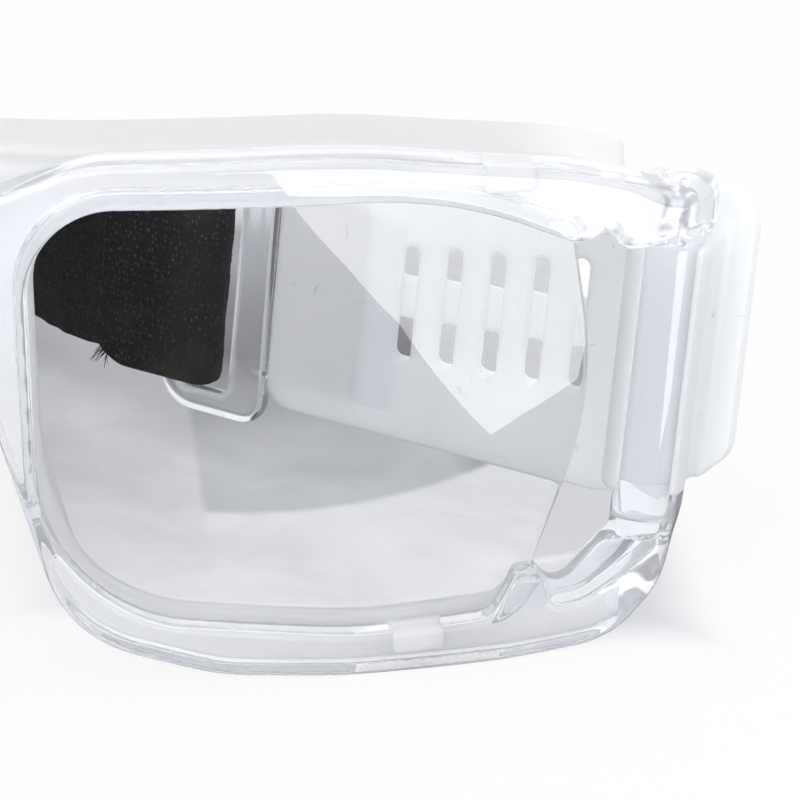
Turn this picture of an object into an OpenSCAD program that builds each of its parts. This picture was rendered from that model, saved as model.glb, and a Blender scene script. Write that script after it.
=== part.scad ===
// Sports goggles: a clear one-piece front frame with hinge posts, two lenses, a soft face gasket,
// two swinging side arms with buckles, and an elastic head strap.
// X runs across the face, Y back towards the wearer, Z up. Origin: middle of the footprint, on the floor.
// The modules measure Y from the front of the frame; placed() moves each piece to the origin.

/* [Front frame] */
// Plan radius of the frame's front surface
wrap_r = 140; // [120:5:180]
// Distance from the middle of the frame to the centre of each bend
temple = 63; // [61:0.5:65]
// Plan radius of the bend into the ears
bend_r = 14; // [13:0.5:16]
// Plan angle of the ears at their ends
ear_angle = 72; // [68:1:76]
// Straight run at the end of each ear
ear_tail = 2; // [1:0.5:2.5]
// Front to back depth of the frame moulding
rail_depth = 5.5; // [5:0.25:6.5]
// Radius of the round hinge posts
post_r = 2.9; // [2.6:0.1:3.3]
// Distance of the post axis inside the outer surface of the bend
post_inset = 2.75; // [2.6:0.05:3]
// Plan angle of the post axis around the bend
post_angle = 50; // [46:1:54]
// How far the posts run into the ears at each end
post_root = 0.4; // [0.2:0.1:1]
// Height of the upper ears' underside
ear_under = 40.6; // [39:0.2:41]
// Height of the lower ears' top
yoke_top = 14.6; // [13:0.2:15]
// Height of the ledge at the foot of the posts
ledge_top = 10.7; // [10:0.1:11.5]
// Depth of the scoop in the front of each lower ear
scoop_depth = 3.6; // [2:0.1:4]

/* [Lenses] */
// Thickness of a lens
lens_t = 2.2; // [1.8:0.1:2.2]
// Depth of the lens seat behind the frame's front surface
lens_inset = 3; // [2.6:0.1:3]
// Width of the frame lip that covers the lens edge
lip = 1.2; // [0.8:0.1:1.6]
// Clearance round the lens and the other seated pieces
fit = 0.1; // [0.05:0.05:0.2]

/* [Face gasket] */
// Thickness of the flange that lies on the back of the frame
flange_t = 1.6; // [1.2:0.1:2]
// Thickness of the standing wall
wall_t = 1.9; // [1.5:0.1:2.4]
// Height of the wall behind the flange
wall_h = 11.6; // [7:0.2:12.6]
// Setback of the gasket from the frame's outer edge
gasket_setback = 0.7; // [0.4:0.1:1]
// Height to which the gasket bridges the dip over the nose, before its setback
bridge_top = 50.2; // [48:0.1:50.6]
// How far the flange shows inside the lens opening
flange_show = 0.9; // [0.5:0.1:1.2]
// How far the standing wall runs out past the centre of the bend
wall_run = 3.8; // [2:0.2:4.4]
// Start of the flange's gap for the clips, inside the centre of the bend
gap_start = 2; // [1:0.5:3]
// Flange left below the upper ears' underside and above the ledges
flange_hold = 2.2; // [1.6:0.1:2.6]
// Width of a locking lug
lug_w = 5; // [4:0.2:6]
// Height of a locking lug
lug_h = 2.4; // [2:0.1:2.6]
// Depth of a locking lug in its pocket
lug_d = 3.4; // [2.4:0.1:4]

/* [Side arms] */
// Angle by which the arms are folded in from straight back
arm_fold = 55; // [45:1:60]
// Distance of the plate's inner face from the post axis
arm_offset = 7.3; // [7.3:0.1:8]
// Thickness of the plate
arm_t = 2.4; // [2.2:0.1:3]
// Length of the plate behind the post axis
arm_len = 48; // [46:1:54]
// Length of the plate in front of the post axis
arm_nose = 5.3; // [4.8:0.1:5.8]
// Height of the plate's lower edge
arm_low = 10.2; // [9:0.1:11]
// Height of the plate's upper edge at the front
arm_high = 45.3; // [44:0.1:46]
// Drop of the plate's upper edge from front to rear
arm_taper = 7.5; // [5:0.5:9]
// Rise of the plate's cut lower front corner
arm_cut = 6.5; // [5:0.5:8]
// Wall of the clip round the post
clip_wall = 1.2; // [1.1:0.1:2]
// Running clearance between clip and post
clip_play = 0.06; // [0.03:0.01:0.1]
// Clearance above and below the clip, to the ears
clip_gap = 0.3; // [0.2:0.05:0.5]
// Width of the clip's mouth
clip_mouth = 5; // [4.6:0.1:5.4]
// Angle by which the mouth is turned towards the front, away from the plate's square
clip_turn = 28; // [0:1:35]
// Thickness of the web between clip and plate
web_w = 5.6; // [4:0.2:8]

/* [Vent slots] */
// Number of vent slots
slot_n = 5; // [3:1:5]
// Distance of the front vent slot from the post axis
slot_first = 12.7; // [11:0.1:14]
// Distance from one vent slot to the next
slot_pitch = 4.9; // [4:0.1:5.2]
// Width of a vent slot
slot_w = 1.75; // [1.2:0.05:2.2]
// Length of the front vent slot
slot_len = 13.7; // [12:0.1:15]
// Height of the front vent slot's lower end above the plate's lower edge
slot_rise = 9.9; // [9:0.1:11]
// Drop of the lower ends, and loss of length, from one slot to the next
slot_step = 0.35; // [0:0.05:0.5]
// Height of the bridge across the front vent slot
slot_bridge = 5; // [3:0.1:6]
// Height of the bridge above the slot's lower end
bridge_rise = 4.3; // [3.5:0.1:5]

/* [Buckles] */
// Thickness of a buckle
buckle_t = 2; // [1.6:0.1:2.2]
// Length of the buckle's loop
buckle_len = 13; // [12:0.5:15]
// Width of the bar next to the arm
near_bar = 4.6; // [3.6:0.1:5]
// Width of the bar that the strap goes round
far_bar = 2.7; // [2.2:0.1:3]
// Height of the rails above and below the strap
buckle_rail = 2.8; // [2.4:0.1:4.2]
// Room for the strap in the buckle's slot, above and below together
slot_room = 1; // [0.6:0.1:2]
// Gap between the plate's rear edge and the buckle's loop
buckle_gap = 0.3; // [0.2:0.05:0.5]
// Length of the tongue inside the arm
tongue_len = 10; // [8:0.5:11]
// Width of the tongue
tongue_w = 20; // [16:0.5:22]
// Thickness of the tongue
tongue_t = 1.2; // [1:0.05:1.3]

/* [Strap] */
// Width of the elastic strap
strap_w = 25; // [22:0.5:26]
// Thickness of the elastic strap
strap_t = 1.5; // [1.2:0.1:1.8]
// Height of the strap's middle at the buckles
strap_mid = 23; // [21:0.1:24]
// Slack between the bar and the inside of the fold
fold_slack = 0.5; // [0.3:0.1:1.6]
// Length of the folded tail from the fold
tail_len = 11.3; // [10:0.1:16]

/* [Hidden] */
$fn = 96;
arc_steps = 6;
tall = 60;
wide = 100;

// Plan angle at which the front surface starts to turn back into the ears
wrap_half = asin(temple / (wrap_r - bend_r));
// Centre of the bend, in plan, the post axis that lies on it and the ears' outermost reach
bend_c = [temple, wrap_r - (wrap_r - bend_r) * cos(wrap_half)];
post_c = bend_c + (bend_r - post_inset) * [sin(post_angle), -cos(post_angle)];
reach = temple + bend_r;

// Corners of the frame's outline in front view, right half from the top middle: x, height, radius
frame_corners = [
    [4.5, 45.6, 9], [14, 49.7, 14], [38, 51, 80], [temple - 3, 48.9, 40], [temple + 6.5, 46.4, 8],
    [reach + 0.6, 46.4, 3.5], [reach - 0.6, 0.6, 12], [temple - 5, 0, 20], [44, 0, 20],
    [34, 0.9, 30], [15.8, 6.1, 12], [3.2, 35.6, 4.4]];
// Corners of a lens opening, right eye, clockwise from the nose: x, height, radius
nose_top = [8.8, 45.3, 7.5];
brow = [48, 46.8, 40];
cheek_out = [42, 5.1, 60];
cheek_in = [13.2, 8.5, 16];
opening_corners = [
    nose_top, brow, [temple - 1.4, ear_under + 0.8, 3], [temple + 1, ear_under + 2.2, 1],
    [temple + 3, ear_under, 2], [wide, ear_under, 0.5], [wide, yoke_top, 0.5],
    [reach - 2.2, yoke_top, 1], [reach - 4.4, ledge_top, 1.5], [temple + 3.6, ledge_top, 2],
    [temple - 0.6, ledge_top - 4.3, 1.4], [temple - 2.6, ledge_top - 0.3, 0.9],
    [temple - 4.6, ledge_top - 0.3, 0.9], [temple - 6.6, 5.2, 2.4], cheek_out, cheek_in];
// Corners of a lens before its edge is let into the frame
lens_corners = [nose_top, brow, [temple - 3.2, 42.4, 2.4], [temple + 1.2, 25.4, 30],
    [temple - 5, 5.2, 3], cheek_out, cheek_in];
// Scoop in the front of the lower ear
scoop_corners = [[temple - 2.1, 30, 1], [temple - 1.4, ledge_top - 4.5, 1.2], [temple + 2, ledge_top - 4.3, 3],
    [reach - 3.4, ledge_top - 1.1, 3], [reach - 1.6, yoke_top + 1.4, 2], [wide, 30, 1]];
// Middles of the locking lugs on the right: x, height
lug_places = [[temple - 9.5, 48], [temple - 14, 2.6]];

// Middle of the plate's thickness, the buckle's height and where its loop starts
arm_mid = arm_offset + arm_t / 2;
buckle_h = strap_w + slot_room + 2 * buckle_rail;
buckle_start = arm_len + buckle_gap;
// Inner radius of the strap's fold round the far bar, the middle of the fold and the end of the tail
fold_r = buckle_t / 2 + fit;
fold_at = buckle_start + buckle_len - far_bar - fold_r - fold_slack;
strap_from = fold_at + tail_len;

// Strap route behind the right arm, from the rear middle: x, y, height of the strap's middle, and the
// angle by which its upper edge leans inwards
strap_low = strap_w / 2;
strap_route = [
    [0, 166, strap_low, 0], [3.3, 165.1, strap_low, 0], [5.7, 162.6, strap_low, 0], [6.6, 159, strap_low, 0],
    [6.6, 152, strap_low, 0], [6.6, 144, strap_low, 0], [6.6, 136, strap_low + 0.2, 0],
    [6.6, 128, strap_low + 0.8, 1], [6.6, 120, strap_low + 2, 2.5], [6.5, 112, strap_low + 3.6, 4.5],
    [6.4, 104, strap_low + 5.4, 7.5], [6.4, 97, strap_low + 7, 11], [6.4, 91.5, strap_low + 8.1, 15],
    [6.6, 87.2, strap_low + 8.7, 19], [7.2, 83.8, strap_low + 9.1, 23], [9.4, 80, strap_low + 9.3, 24],
    [13.3, 77, strap_low + 9.5, 18], [16.8, 74.7, strap_low + 9.9, 9]];

// Half the footprint's length, from the front of the frame to the rear of the strap
middle = (strap_route[0].y + strap_t / 2) / 2;

// Functions for outlines
function unit(v) = v / norm(v);
function spun(v, a) = [v.x * cos(a) - v.y * sin(a), v.x * sin(a) + v.y * cos(a)];
function xy(c) = [c[0], c[1]];
function fillet(a, b, c, r) =
    let (u = unit(a - b), w = unit(c - b), half = acos(u * w) / 2)
    let (o = b + unit(u + w) * r / sin(half), p = b + u * r / tan(half) - o)
    let (turn = (cross(u, w) > 0 ? -1 : 1) * (180 - 2 * half))
    [for (i = [0:arc_steps]) o + spun(p, turn * i / arc_steps)];
function rounded(cs) =
    let (n = len(cs))
    [for (i = [0:n - 1]) each fillet(xy(cs[(i + n - 1) % n]), xy(cs[i]), xy(cs[(i + 1) % n]), cs[i][2])];
// Corner of a clockwise outline moved outwards by g, its radius with it
function grown_corner(a, b, c, g) =
    let (u = unit(b - a), w = unit(c - b), nu = [-u.y, u.x], nw = [-w.y, w.x])
    let (k = g / (1 + nu * nw), side = cross(u, w) < 0 ? 1 : -1)
    [b.x + (nu.x + nw.x) * k, b.y + (nu.y + nw.y) * k, side];
function grown(cs, g) =
    let (n = len(cs))
    [for (i = [0:n - 1])
        let (q = grown_corner(xy(cs[(i + n - 1) % n]), xy(cs[i]), xy(cs[(i + 1) % n]), g))
        [q[0], q[1], max(0.2, cs[i][2] + q[2] * g)]];
function mirrored(cs) = [for (i = [len(cs) - 1:-1:0]) [-cs[i][0], cs[i][1], cs[i][2]]];
frame_outline = concat(frame_corners, mirrored(frame_corners));
// The gasket follows the frame, but runs straight over the dip above the nose
gasket_corners = concat([[14, bridge_top, 30]], [for (i = [2:len(frame_corners) - 1]) frame_corners[i]]);
gasket_outline = concat(gasket_corners, mirrored(gasket_corners));

// Points along a smooth curve through a route
function curve_point(a, b, c, d, t) =
    0.5 * (2 * b + (c - a) * t + (2 * a - 5 * b + 4 * c - d) * t * t + (3 * b - a - 3 * c + d) * t * t * t);

// Plan of the frame's surface at a depth behind its front, from left ear to right ear
function arc(c, r, from, to, steps) =
    [for (i = [0:steps]) let (a = from + (to - from) * i / steps) c + r * [sin(a), -cos(a)]];
function backwards(line) = [for (i = [len(line) - 1:-1:0]) line[i]];
function flipped(line) = [for (p = backwards(line)) [-p.x, p.y]];
function right_plan(inset) =
    let (bend = arc(bend_c, bend_r - inset, wrap_half, ear_angle, 6))
    let (tail = [bend[6] + ear_tail * [cos(ear_angle), sin(ear_angle)]])
    concat(arc([0, wrap_r], wrap_r - inset, 0, wrap_half, 12), [for (i = [1:6]) bend[i]], tail);
function full_plan(line) = concat(flipped(line), [for (i = [1:len(line) - 1]) line[i]]);

// Solid that keeps to the wrap of the frame: from inset to inset + thick behind the front surface
module wrap_shell(inset, thick) {
    translate([0, 0, -1]) linear_extrude(tall)
        polygon(concat(full_plan(right_plan(inset)), backwards(full_plan(right_plan(inset + thick)))));
}

// The same on the plain arc of the front, without the bends, for what stands further back
module arc_shell(inset, thick) {
    sweep = wrap_half + 6;
    translate([0, 0, -1]) linear_extrude(tall)
        polygon(concat(arc([0, wrap_r], wrap_r - inset, -sweep, sweep, 28),
            arc([0, wrap_r], wrap_r - inset - thick, sweep, -sweep, 28)));
}

// Front-view outline run from front to back through the whole object
module through(points) {
    translate([0, wide, 0]) rotate([90, 0, 0]) linear_extrude(2 * wide) polygon(points);
}

module both_sides() {
    children();
    mirror([1, 0, 0]) children();
}

// Locking lugs of the gasket, or with play their pockets in the frame
module lugs(play) {
    both_sides() for (p = lug_places)
        intersection() {
            wrap_shell(rail_depth - lug_d - play, lug_d + play + flange_t / 2);
            translate([p.x - lug_w / 2 - play, -1, p.y - lug_h / 2 - play])
                cube([lug_w + 2 * play, wide, lug_h + 2 * play]);
        }
}

module front_frame() {
    color([0.9, 0.91, 0.97, 0.45]) {
        difference() {
            intersection() {
                wrap_shell(0, rail_depth);
                through(rounded(frame_outline));
            }
            both_sides() through(rounded(opening_corners));
            both_sides() intersection() {
                wrap_shell(lens_inset - fit, rail_depth);
                through(rounded(grown(lens_corners, lip + fit)));
            }
            both_sides() intersection() {
                wrap_shell(-1, scoop_depth + 1);
                through(rounded(scoop_corners));
            }
            lugs(fit);
        }
        both_sides() translate([post_c.x, post_c.y, ledge_top - post_root])
            cylinder(r = post_r, h = ear_under - ledge_top + 2 * post_root);
    }
}

module lens() {
    color([0.93, 0.95, 0.97, 0.3])
        intersection() {
            wrap_shell(lens_inset, lens_t);
            through(rounded(grown(lens_corners, lip)));
        }
}

module face_gasket() {
    gap_low = ledge_top - flange_hold;
    gap_high = ear_under + flange_hold;
    color([0.86, 0.87, 0.83]) {
        intersection() {
            wrap_shell(rail_depth, flange_t);
            difference() {
                through(rounded(grown(gasket_outline, -gasket_setback)));
                both_sides() through(rounded(grown(lens_corners, -flange_show)));
                both_sides() translate([temple - gap_start, -1, gap_low])
                    cube([wide, wide, gap_high - gap_low]);
            }
        }
        intersection() {
            arc_shell(rail_depth + flange_t / 2, wall_h + flange_t / 2);
            difference() {
                through(rounded(grown(gasket_outline, -gasket_setback)));
                through(rounded(grown(gasket_outline, -gasket_setback - wall_t)));
                both_sides() translate([temple + wall_run, -1, -1]) cube([wide, wide, tall]);
            }
        }
        lugs(0);
    }
}

// Places a piece of the right arm: local X outwards from the plate, local Y towards its rear
module on_arm() {
    translate([post_c.x, post_c.y, 0]) rotate([0, 0, arm_fold]) children();
}

// Side-view outline of the arm given thickness, laid along local Y
module arm_slab(points, from, thick) {
    translate([from, 0, 0]) rotate([90, 0, 90]) linear_extrude(thick) polygon(points);
}

// Clears one vent slot: low end, high end, and how deep from the inner face
module slot_cut(at, low, high, deep) {
    translate([arm_offset - 1, at, 0]) {
        for (z = [low + slot_w / 2, high - slot_w / 2])
            translate([0, 0, z]) rotate([0, 90, 0]) cylinder(d = slot_w, h = deep + 1, $fn = 24);
        translate([0, -slot_w / 2, low + slot_w / 2]) cube([deep + 1, slot_w, high - low - slot_w]);
    }
}

// Vent slots, each crossed by a bridge that leaves it open above and below and sunk between
module vent_slots() {
    for (i = [0:slot_n - 1]) {
        at = slot_first + i * slot_pitch;
        low = arm_low + slot_rise - i * slot_step;
        high = low + slot_len - i * slot_step;
        slot_cut(at, low, high, arm_t / 2);
        difference() {
            slot_cut(at, low, high, arm_t + 1);
            translate([0, at - slot_w, low + bridge_rise]) cube([wide, 2 * slot_w, slot_bridge - i * slot_step / 2]);
        }
    }
}

module side_arm() {
    plate = [[-arm_nose, arm_high, 4.5], [arm_len, arm_high - arm_taper, 3], [arm_len, arm_low, 3],
        [7.3, arm_low, 12], [-arm_nose, arm_low + arm_cut, 3.5]];
    clip_low = yoke_top + clip_gap;
    clip_h = ear_under - clip_gap - clip_low;
    pocket = [arm_t, arm_len, tongue_w + 2 * fit];
    color([0.85, 0.87, 0.86]) on_arm() difference() {
        union() {
            arm_slab(rounded(plate), arm_offset, arm_t);
            translate([0, -web_w / 2, clip_low]) cube([arm_offset, web_w, clip_h]);
            translate([0, 0, clip_low]) cylinder(r = post_r + clip_wall, h = clip_h);
        }
        translate([0, 0, clip_low - 1]) cylinder(r = post_r + clip_play, h = clip_h + 2);
        rotate([0, 0, clip_turn]) translate([-wide, -clip_mouth / 2, clip_low - 1])
            cube([wide, clip_mouth, clip_h + 2]);
        vent_slots();
        translate([arm_offset + arm_t - tongue_t - 2 * fit, arm_len - tongue_len - fit, strap_mid - pocket.z / 2])
            cube(pocket);
    }
}

module buckle() {
    low = strap_mid - buckle_h / 2;
    high = strap_mid + buckle_h / 2;
    end = buckle_start + buckle_len;
    ring = [[buckle_start, high, 3], [end, high, 4], [end, low, 4], [buckle_start, low, 3]];
    hole = [[buckle_start + near_bar, high - buckle_rail, 1], [end - far_bar, high - buckle_rail, 1],
        [end - far_bar, low + buckle_rail, 1], [buckle_start + near_bar, low + buckle_rail, 1]];
    color([0.9, 0.91, 0.94, 0.5]) on_arm() {
        difference() {
            arm_slab(rounded(ring), arm_mid - buckle_t / 2, buckle_t);
            arm_slab(rounded(hole), arm_mid - buckle_t, 2 * buckle_t);
        }
        translate([arm_offset + arm_t - tongue_t - fit, arm_len - tongue_len, strap_mid - tongue_w / 2])
            cube([tongue_t, tongue_len + buckle_gap + near_bar / 2, tongue_w]);
    }
}

module strap_end() {
    color([0.08, 0.07, 0.07]) on_arm() translate([arm_mid, fold_at, strap_mid - strap_w / 2]) {
        rotate([0, 0, 180]) rotate_extrude(angle = 180, $fn = 48)
            translate([fold_r, 0]) square([strap_t, strap_w]);
        for (side = [0, 1]) mirror([side, 0, 0]) translate([fold_r, 0, 0])
            cube([strap_t, tail_len, strap_w]);
    }
}

// Middle of the strap where it leaves the right arm, and one step further on
function arm_point(v, u) = [post_c.x, post_c.y] + spun([v, u], arm_fold);
strap_v = arm_mid + fold_r + strap_t / 2;
strap_out = arm_point(strap_v, strap_from + 0.3);
strap_next = arm_point(strap_v, strap_from + 2.5);
strap_half = concat(strap_route,
    [[strap_next.x, strap_next.y, strap_mid, 3], [strap_out.x, strap_out.y, strap_mid, 0]]);
strap_line = concat([for (i = [len(strap_half) - 1:-1:1]) let (q = strap_half[i]) [-q.x, q.y, q.z, q[3]]],
    strap_half);

module head_strap() {
    n = len(strap_line);
    turns = 3;
    // Centre line refined between the route's points, nowhere below the floor
    line = [for (i = [0:n - 2], j = [0:turns - 1])
        let (p = curve_point(strap_line[max(i - 1, 0)], strap_line[i], strap_line[i + 1],
            strap_line[min(i + 2, n - 1)], j / turns))
        [p.x, p.y, max(p.z, strap_low), p[3]], strap_line[n - 1]];
    m = len(line);
    // Four corners of the strap's section at each ring
    rings = [for (i = [0:m - 1])
        let (d = line[min(i + 1, m - 1)] - line[max(i - 1, 0)], a = unit([d.y, -d.x]), t = line[i][3])
        let (across = [a.x * cos(t), a.y * cos(t), -sin(t)] * strap_t / 2)
        let (up = [a.x * sin(t), a.y * sin(t), cos(t)] * strap_w / 2, c = [line[i].x, line[i].y, line[i].z])
        each [c - across - up, c + across - up, c + across + up, c - across + up]];
    sides = [for (i = [0:m - 2], k = [0:3])
        let (a = 4 * i + k, b = 4 * i + (k + 1) % 4)
        each [[a, b, b + 4], [a, b + 4, a + 4]]];
    last = 4 * (m - 1);
    ends = [[3, 2, 1], [3, 1, 0], [last, last + 1, last + 2], [last, last + 2, last + 3]];
    color([0.08, 0.07, 0.07]) polyhedron(rings, concat(sides, ends));
}

module placed() {
    translate([0, -middle, 0]) children();
}

placed() front_frame();
placed() lens();  // lens_right
placed() mirror([1, 0, 0]) lens();  // lens_left
placed() face_gasket();
placed() side_arm();  // side_arm_right
placed() mirror([1, 0, 0]) side_arm();  // side_arm_left
placed() buckle();  // buckle_right
placed() mirror([1, 0, 0]) buckle();  // buckle_left
placed() strap_end();  // strap_end_right
placed() mirror([1, 0, 0]) strap_end();  // strap_end_left
placed() head_strap();
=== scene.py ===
import math

import bpy
import numpy as np
from mathutils import Matrix, Vector


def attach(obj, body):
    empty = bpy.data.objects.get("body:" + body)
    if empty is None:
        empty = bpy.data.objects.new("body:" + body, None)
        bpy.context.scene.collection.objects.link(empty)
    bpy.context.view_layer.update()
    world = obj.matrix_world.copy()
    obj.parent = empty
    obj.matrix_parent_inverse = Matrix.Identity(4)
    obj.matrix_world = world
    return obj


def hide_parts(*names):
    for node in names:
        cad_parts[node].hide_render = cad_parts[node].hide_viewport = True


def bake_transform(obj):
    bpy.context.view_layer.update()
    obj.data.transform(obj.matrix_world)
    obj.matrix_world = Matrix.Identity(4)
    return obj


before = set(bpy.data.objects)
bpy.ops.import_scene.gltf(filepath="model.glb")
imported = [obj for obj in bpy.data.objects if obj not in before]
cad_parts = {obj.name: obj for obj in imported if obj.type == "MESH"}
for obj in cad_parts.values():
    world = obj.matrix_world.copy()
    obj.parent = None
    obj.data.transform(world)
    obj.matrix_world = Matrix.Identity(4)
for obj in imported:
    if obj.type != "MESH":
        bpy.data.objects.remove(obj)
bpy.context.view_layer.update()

MM = 0.001
MIDDLE = 83.375  # the row frame's origin lies this far behind the front of the frame, in mm

# Plan of the frame, in mm: a wide arc that turns a tight bend at each temple and ends in an ear

R = 140.0                # radius of the front surface
HALF = math.radians(30)  # the wide arc's half angle
BEND = 14.0              # radius of the front surface in the bend
EAR = math.radians(72)   # direction in which the ear's outside faces
TAIL = 2.0               # straight run of the ear
DEPTH = 5.5              # thickness of the rails from front to back
BC = np.array([(R - BEND) * math.sin(HALF), R - (R - BEND) * math.cos(HALF)])  # middle of the bend
POST_INSET, POST_TURN, POST_R = 2.75, math.radians(50), 2.9
POST = BC + (BEND - POST_INSET) * np.array([math.sin(POST_TURN), -math.cos(POST_TURN)])
FOLD = math.radians(55)  # how far the arms are folded in at rest

# Heights: the upper ear's underside, the step outside the post and the ledge under it

EAR_UNDER, YOKE_TOP, LEDGE_TOP = 40.6, 14.6, 10.7

# Outlines as corners: distance from the middle, height and fillet radius

FRAME_CORNERS = [
    (4.5, 45.6, 9), (14, 49.7, 14), (38, 51, 80), (60, 48.9, 40), (69.5, 46.4, 8), (90, 46.4, 3),
    (90, 14, 3), (77.2, 12, 6), (75.2, 4.6, 7), (69.5, 0.6, 9), (58, 0, 20), (42, 0, 26), (30, 0.7, 24),
    (15.6, 4.6, 13), (3.2, 35.6, 4.4)]
NOSE_TOP, BROW, CHEEK_OUT, CHEEK_IN = (8.8, 45.3, 7.5), (48, 46.8, 40), (43, 4.1, 50), (13.2, 6.9, 17)
OPENING = [
    NOSE_TOP, BROW, (61.6, 41.4, 3), (64, 42.8, 1), (66, EAR_UNDER, 2), (100, EAR_UNDER, 0.5),
    (100, YOKE_TOP, 0.5), (74.8, YOKE_TOP, 1), (72.6, LEDGE_TOP, 1.5), (67.6, LEDGE_TOP - 0.5, 2.2),
    (63.2, 5.4, 2), (60.5, 8.7, 1.1), (58.5, 8.7, 1.1), (56.4, 4.6, 2.4), CHEEK_OUT, CHEEK_IN]
LENS = [NOSE_TOP, BROW, (59.8, 42.4, 2.4), (64.2, 25.4, 30), (58, 4.6, 3), CHEEK_OUT, CHEEK_IN]
SCOOP = [(60.9, 30, 1), (62, 5.0, 1.4), (66, 5.3, 4), (73.6, 9.6, 3), (75.4, 16, 2), (90, 30, 1)]


def rounded(corners, steps=14):
    """Points of a clockwise outline whose corners (x, z, radius) are filleted."""
    out = []
    n = len(corners)
    for i in range(n):
        a, b, c = (np.array(corners[(i + k) % n][:2], float) for k in (-1, 0, 1))
        r = corners[i][2]
        u = (a - b) / np.linalg.norm(a - b)
        w = (c - b) / np.linalg.norm(c - b)
        half = math.acos(max(-1, min(1, float(u @ w)))) / 2
        m = (u + w) / np.linalg.norm(u + w)
        o = b + m * r / math.sin(half)
        p = b + u * r / math.tan(half) - o
        turn = (-1 if u[0] * w[1] - u[1] * w[0] > 0 else 1) * (math.pi - 2 * half)
        for k in range(steps + 1):
            ct, st = math.cos(turn * k / steps), math.sin(turn * k / steps)
            out.append(o + np.array([p[0] * ct - p[1] * st, p[0] * st + p[1] * ct]))
    return np.array(out)


def grown(corners, g):
    """The corners moved outwards by g, with their radii."""
    out = []
    n = len(corners)
    for i in range(n):
        a, b, c = (np.array(corners[(i + k) % n][:2], float) for k in (-1, 0, 1))
        u = (b - a) / np.linalg.norm(b - a)
        w = (c - b) / np.linalg.norm(c - b)
        nu, nw = np.array([-u[1], u[0]]), np.array([-w[1], w[0]])
        q = b + (nu + nw) * g / (1 + nu @ nw)
        side = 1 if u[0] * w[1] - u[1] * w[0] < 0 else -1
        out.append((q[0], q[1], max(0.2, corners[i][2] + side * g)))
    return out


def both(corners):
    """The corners of one half and, after them, those of its mirror image."""
    return list(corners) + [(-x, z, r) for x, z, r in reversed(corners)]


class Outline:
    """Signed distance to a closed outline, negative inside: a fine grid that is read between its points."""

    def __init__(self, points, lo, hi, h=0.2):
        self.lo, self.h = np.array(lo, float), h
        nx, ny = (int(math.ceil((hi[i] - lo[i]) / h)) + 2 for i in (0, 1))
        x = (lo[0] + h * np.arange(nx))[:, None]
        y = (lo[1] + h * np.arange(ny))[None, :]
        best = np.full((nx, ny), 1e9)
        inside = np.zeros((nx, ny), bool)
        for a, b in zip(points, np.roll(points, -1, 0)):
            e = b - a
            q = e @ e
            if q < 1e-12:
                continue
            t = np.clip(((x - a[0]) * e[0] + (y - a[1]) * e[1]) / q, 0, 1)
            best = np.minimum(best, (x - a[0] - t * e[0]) ** 2 + (y - a[1] - t * e[1]) ** 2)
            if a[1] != b[1]:
                crosses = ((a[1] > y) != (b[1] > y)) & (x < a[0] + (y - a[1]) * e[0] / e[1])
                inside ^= crosses
        self.v = np.where(inside, -1, 1) * np.sqrt(best)

    def __call__(self, x, y):
        fx = (np.asarray(x, float) - self.lo[0]) / self.h
        fy = (np.asarray(y, float) - self.lo[1]) / self.h
        fx = np.clip(fx, 0, self.v.shape[0] - 1.001)
        fy = np.clip(fy, 0, self.v.shape[1] - 1.001)
        i, j = fx.astype(int), fy.astype(int)
        u, w = fx - i, fy - j
        v = self.v
        near = v[i, j] * (1 - u) + v[i + 1, j] * u
        far = v[i, j + 1] * (1 - u) + v[i + 1, j + 1] * u
        return near * (1 - w) + far * w


INSIDE = -9.0  # stands for any distance that lies well inside a form


def inset(x, y):
    """Depth of a plan point behind the frame's front surface, and the run past the end of the ear."""
    x = np.abs(x)
    a = np.arctan2(x, R - y)
    bx, by = x - BC[0], y - BC[1]
    b = np.arctan2(bx, -by)
    in_bend = (a > HALF) & (b >= HALF - 1e-9) & (b <= EAR)
    past = (a > HALF) & (b > EAR)
    d = R - np.hypot(x, R - y)
    d = np.where(in_bend, BEND - np.hypot(bx, by), d)
    nx, ny = math.sin(EAR), -math.cos(EAR)
    d = np.where(past & (bx > 0), BEND - (bx * nx + by * ny), d)
    run = bx * math.cos(EAR) + by * math.sin(EAR)
    return d, np.where(a > HALF, run, INSIDE)


def smax(a, b, k):
    """The larger of two distances, with a blend about k wide where they cross."""
    h = np.maximum(k - np.abs(a - b), 0) / k
    return np.maximum(a, b) + h * h * k / 4


def smin(a, b, k):
    """The smaller of two distances, blended in the same way."""
    return -smax(-a, -b, k)


CORNERS = np.array([(i, j, k) for i in (0, 1) for j in (0, 1) for k in (0, 1)])
EDGES = [(a, b) for a in range(8) for b in range(a + 1, 8) if abs(CORNERS[a] - CORNERS[b]).sum() == 1]
PROBE = 0.03     # distance in mm over which a form's slope is measured
FLATTEST = 0.05  # least squared slope that a step towards the surface is divided by
RELAXED = 2      # rounds of smoothing
STAY = 0.4       # share of its own place that a point keeps in a round


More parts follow.
